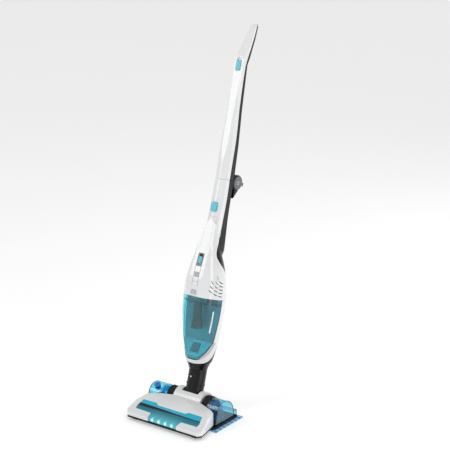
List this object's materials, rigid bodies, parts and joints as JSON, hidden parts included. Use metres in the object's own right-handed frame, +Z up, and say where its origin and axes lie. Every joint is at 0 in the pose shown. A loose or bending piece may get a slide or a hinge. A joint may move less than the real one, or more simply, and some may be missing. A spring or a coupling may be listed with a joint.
{
  "type": "wet dry floor scrubber",
  "caption": "Upright cordless wet and dry floor cleaner with folding handle, lift-out hand unit with clear dust cup, motor brush head and clip-on wet mop with water tank.",
  "frame": {"origin": "on the floor, under the middle of the overall bounding box", "axes": "+Z up, +X towards the machine's right as seen from the front of the floor head facing -Y, -Y out of the front of the floor head"},
  "size_m": [0.278, 0.4577, 1.088],
  "materials": {
    "white_gloss": "gloss",
    "black_satin": "satin",
    "black_rubber": "matte",
    "grey_plastic": "satin",
    "pale_grey": "gloss",
    "aqua_plastic": "gloss",
    "clear_teal": "clear gloss",
    "clear_blue": "clear gloss",
    "blue_plastic": "gloss",
    "steel": "brushed",
    "motor_metal": "satin",
    "contact_brass": "polished",
    "board_green": "satin",
    "lamp_white": "clear gloss",
    "cell_wrap": "satin wrap",
    "felt": "felt",
    "bristle": "nylon bristle",
    "mop_stripe": "looped microfibre",
    "filter_paper": "pleated"
  },
  "bodies": {
    "head": {"head_base": "black_satin", "head_cover": "white_gloss", "head_window": "clear_teal", "window_trim": "black_satin", "front_bumper": "black_rubber", "led_board": "board_green", "led_lamps": "lamp_white", "drive_belt": "black_rubber", "brush_motor": "steel", "head_duct": "black_satin", "pivot_pins": "steel"},
    "neck": {"neck_yoke": "black_satin"},
    "frame": {"neck_tube": "black_satin", "swivel_ring": "steel", "base_socket": "black_satin", "frame_front": "white_gloss", "frame_back": "black_satin", "release_spring": "steel", "hinge_bracket": "black_satin", "frame_contacts": "contact_brass", "case_screws": "steel", "hinge_pin": "steel"},
    "handle": {"handle_front": "white_gloss", "handle_back": "black_satin", "hinge_knuckle": "black_satin"},
    "lever": {"fold_lever": "grey_plastic"},
    "handle_switch": {"handle_slider": "aqua_plastic"},
    "release": {"release_button": "aqua_plastic"},
    "hand_unit": {"hand_shell": "white_gloss", "hand_chassis": "white_gloss", "hand_grip": "black_rubber", "nozzle_panel": "pale_grey", "suction_motor": "motor_metal", "motor_mount": "black_rubber", "battery_cells": "cell_wrap", "circuit_board": "board_green", "panel_plate": "grey_plastic"},
    "power_switch": {"power_slider": "aqua_plastic"},
    "cup_latch": {"cup_button": "pale_grey"},
    "cup": {"dust_cup": "clear_teal", "separator": "black_satin", "filter_core": "filter_paper"},
    "flap": {"inlet_flap": "black_rubber"},
    "rotor": {"impeller": "grey_plastic"},
    "brush": {"brush_core": "grey_plastic", "brush_bristles": "bristle", "brush_pulley": "grey_plastic"},
    "motor_rotor": {"motor_pulley": "contact_brass"},
    "wheel_left": {"wheel_hub_left": "grey_plastic", "wheel_tyre_left": "black_rubber"},
    "wheel_right": {"wheel_hub_right": "grey_plastic", "wheel_tyre_right": "black_rubber"},
    "roller_left": {"front_roller_left": "black_rubber"},
    "roller_right": {"front_roller_right": "black_rubber"},
    "mop": {"mop_plate": "black_satin", "mop_tank": "clear_blue", "mop_wicks": "felt", "mop_clips": "grey_plastic", "mop_cloth": "mop_stripe"},
    "cap": {"tank_cap": "blue_plastic"}
  },
  "joints": [
    {"name": "neck_tilt", "type": "hinge", "parent": "head", "child": "neck", "pos_m": [0, -0.07963, 0.0385], "axis": [-1, 0, 0], "range_deg": [0, 40]},
    {"name": "neck_swivel", "type": "hinge", "parent": "neck", "child": "frame", "pos_m": [0, -0.06793, 0.07675], "axis": [0, 0.2924, 0.9563], "range_deg": [-35, 35]},
    {"name": "handle_fold", "type": "hinge", "parent": "frame", "child": "handle", "pos_m": [0, 0.11132, 0.64937], "axis": [-1, 0, 0], "range_deg": [0, 165]},
    {"name": "fold_lever_turn", "type": "hinge", "parent": "frame", "child": "lever", "pos_m": [0, 0.11132, 0.64937], "axis": [1, 0, 0], "range_deg": [0, 40]},
    {"name": "handle_switch_slide", "type": "slide", "parent": "handle", "child": "handle_switch", "axis": [0, 0.2924, 0.9563], "range_m": [0, 0.006]},
    {"name": "release_press", "type": "slide", "parent": "frame", "child": "release", "axis": [0, 0.9563, -0.2924], "range_m": [0, 0.003], "stiffness_N_per_m": 1500, "springref_m": -0.001, "deforming": ["release_spring"]},
    {"name": "hand_unit_tip", "type": "hinge", "parent": "frame", "child": "hand_unit", "pos_m": [0, -0.09456, 0.1675], "axis": [1, 0, 0], "range_deg": [0, 32]},
    {"name": "power_switch_slide", "type": "slide", "parent": "hand_unit", "child": "power_switch", "axis": [0, 0.4493, 0.8934], "range_m": [0, 0.008]},
    {"name": "cup_latch_press", "type": "slide", "parent": "hand_unit", "child": "cup_latch", "axis": [0, 0.9563, -0.2924], "range_m": [0, 0.0025], "stiffness_N_per_m": 1500, "springref_m": -0.001},
    {"name": "cup_pull_off", "type": "slide", "parent": "hand_unit", "child": "cup", "axis": [0, -0.9563, 0.2924], "range_m": [0, 0.09]},
    {"name": "inlet_flap_swing", "type": "hinge", "parent": "cup", "child": "flap", "pos_m": [0, -0.05857, 0.21026], "axis": [-1, 0, 0], "range_deg": [0, 15], "stiffness_Nm_per_rad": 0.02, "springref_deg": -11.46},
    {"name": "impeller_spin", "type": "hinge", "parent": "hand_unit", "child": "rotor", "pos_m": [0, -0.04108, 0.35611], "axis": [0, 0.2924, 0.9563], "continuous": true},
    {"name": "brush_spin", "type": "hinge", "parent": "head", "child": "brush", "pos_m": [0, -0.17963, 0.0185], "axis": [1, 0, 0], "continuous": true},
    {"name": "brush_motor_spin", "type": "hinge", "parent": "head", "child": "motor_rotor", "pos_m": [-0.1, -0.14563, 0.031], "axis": [1, 0, 0], "continuous": true},
    {"name": "wheel_left_spin", "type": "hinge", "parent": "head", "child": "wheel_left", "pos_m": [-0.063, -0.07963, 0.0385], "axis": [1, 0, 0], "continuous": true},
    {"name": "wheel_right_spin", "type": "hinge", "parent": "head", "child": "wheel_right", "pos_m": [0.063, -0.07963, 0.0385], "axis": [1, 0, 0], "continuous": true},
    {"name": "roller_left_spin", "type": "hinge", "parent": "head", "child": "roller_left", "pos_m": [-0.105, -0.21363, 0.006], "axis": [1, 0, 0], "continuous": true},
    {"name": "roller_right_spin", "type": "hinge", "parent": "head", "child": "roller_right", "pos_m": [0.105, -0.21363, 0.006], "axis": [1, 0, 0], "continuous": true},
    {"name": "mop_unclip", "type": "slide", "parent": "head", "child": "mop", "axis": [0, 0, -1], "range_m": [0, 0.06]},
    {"name": "tank_cap_turn", "type": "hinge", "parent": "mop", "child": "cap", "pos_m": [-0.103, -0.11163, 0.0696], "axis": [0, -0.342, 0.9397], "range_deg": [0, 90]}
  ],
  "couplings": [
    {"joint": "brush_motor_spin", "follows": "brush_spin", "ratio": 1.8}
  ]
}
